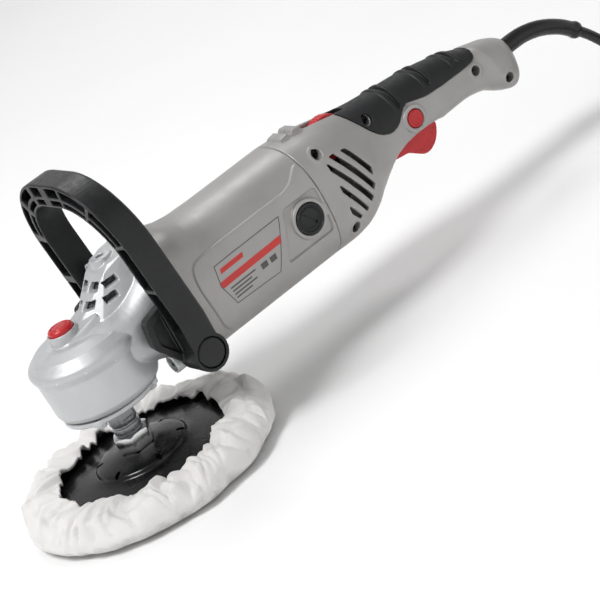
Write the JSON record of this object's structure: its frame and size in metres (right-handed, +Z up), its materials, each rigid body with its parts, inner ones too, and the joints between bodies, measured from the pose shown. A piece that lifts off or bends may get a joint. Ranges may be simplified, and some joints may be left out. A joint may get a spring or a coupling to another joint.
{
  "type": "rotary polisher",
  "caption": "Corded rotary polisher: geared aluminium head, loop handle, motor housing, tail handle with trigger and speed dial, backing pad and cloth bonnet.",
  "frame": {"origin": "centre of the bonnet's flat working face, on the spindle axis", "axes": "+Z up the spindle from the work to the gear head, +X along the motor towards the tail handle and the cord, +Y to the tool's right-hand side"},
  "size_m": [0.728, 0.2095, 0.212],
  "materials": {
    "cast_aluminium": "bare cast, satin",
    "steel": "bright machined",
    "dark_steel": "dark oiled",
    "chrome": "plated, bright",
    "grey_plastic": "warm grey, fine texture",
    "black_plastic": "satin black",
    "soft_rubber": "soft overmould, matt",
    "gloss_black": "smooth black",
    "red_plastic": "smooth red",
    "cloth": "off-white short pile",
    "copper": "varnished copper",
    "lamination": "stacked sheet",
    "carbon": "pressed carbon"
  },
  "bodies": {
    "housing": {"gear_housing": "cast_aluminium", "gear_cover": "cast_aluminium", "gear_cover_screw_1": "steel", "gear_cover_screw_2": "steel", "gear_cover_screw_3": "steel", "gear_cover_screw_4": "steel", "spindle_lower_bearing": "steel", "spindle_upper_bearing": "steel", "gear_head_screw_1": "steel", "gear_head_screw_2": "steel", "gear_head_screw_3": "steel", "gear_head_screw_4": "steel", "loop_handle": "black_plastic", "loop_handle_bolt_left": "black_plastic", "loop_handle_bolt_right": "black_plastic", "motor_housing": "grey_plastic", "brush_cap_left": "black_plastic", "brush_cap_right": "black_plastic", "carbon_brush_left": "carbon", "carbon_brush_right": "carbon", "stator_core": "lamination", "field_coil_upper": "copper", "field_coil_lower": "copper", "front_armature_bearing": "steel", "rear_armature_bearing": "steel", "tail_handle_left": "grey_plastic", "tail_handle_right": "grey_plastic", "soft_grip_left": "soft_rubber", "soft_grip_right": "soft_rubber", "tail_handle_screw_1": "steel", "tail_handle_screw_2": "steel", "tail_handle_screw_3": "steel", "tail_handle_screw_4": "steel", "tail_handle_screw_5": "steel", "trigger_pin": "steel", "switch_body": "black_plastic", "speed_control_module": "black_plastic", "cord_sleeve": "gloss_black", "cord_clamp": "black_plastic", "cord": "gloss_black", "cord_coil": "gloss_black", "plug": "gloss_black"},
    "spindle": {"spindle": "dark_steel", "crown_gear": "steel", "pad_nut": "chrome", "backing_pad": "gloss_black", "bonnet": "cloth"},
    "armature": {"armature_shaft": "dark_steel", "pinion_gear": "steel", "armature_core": "lamination", "armature_winding": "copper", "commutator": "copper", "cooling_fan": "black_plastic"},
    "trigger": {"trigger": "red_plastic", "trigger_spring": "steel"},
    "lock_on_button": {"lock_on_button": "red_plastic"},
    "speed_dial": {"speed_dial": "red_plastic"},
    "spindle_lock": {"spindle_lock_button": "red_plastic", "spindle_lock_pin": "steel", "spindle_lock_spring": "steel"}
  },
  "joints": [
    {"name": "spindle_spin", "type": "hinge", "parent": "housing", "child": "spindle", "pos_m": [0, 0, 0.05], "axis": [0, 0, 1], "continuous": true},
    {"name": "armature_spin", "type": "hinge", "parent": "housing", "child": "armature", "pos_m": [0.1, 0, 0.096], "axis": [1, 0, 0], "continuous": true},
    {"name": "trigger_pull", "type": "hinge", "parent": "housing", "child": "trigger", "pos_m": [0.258, 0, 0.087], "axis": [0, -1, 0], "range_deg": [0, 6], "stiffness_Nm_per_rad": 1, "springref_deg": -5.73, "deforming": ["trigger_spring"]},
    {"name": "lock_on_press", "type": "slide", "parent": "housing", "child": "lock_on_button", "axis": [0, 1, 0], "range_m": [0, 0.003], "stiffness_N_per_m": 700, "springref_m": -0.001},
    {"name": "speed_dial_turn", "type": "hinge", "parent": "housing", "child": "speed_dial", "pos_m": [0.2345, 0, 0.1195], "axis": [0, 1, 0], "range_deg": [0, 300]},
    {"name": "spindle_lock_press", "type": "slide", "parent": "housing", "child": "spindle_lock", "axis": [0, 0, -1], "range_m": [0, 0.0044], "stiffness_N_per_m": 900, "springref_m": -0.002, "deforming": ["spindle_lock_spring"]}
  ],
  "couplings": [
    {"joint": "armature_spin", "follows": "spindle_spin", "ratio": 3.6}
  ]
}
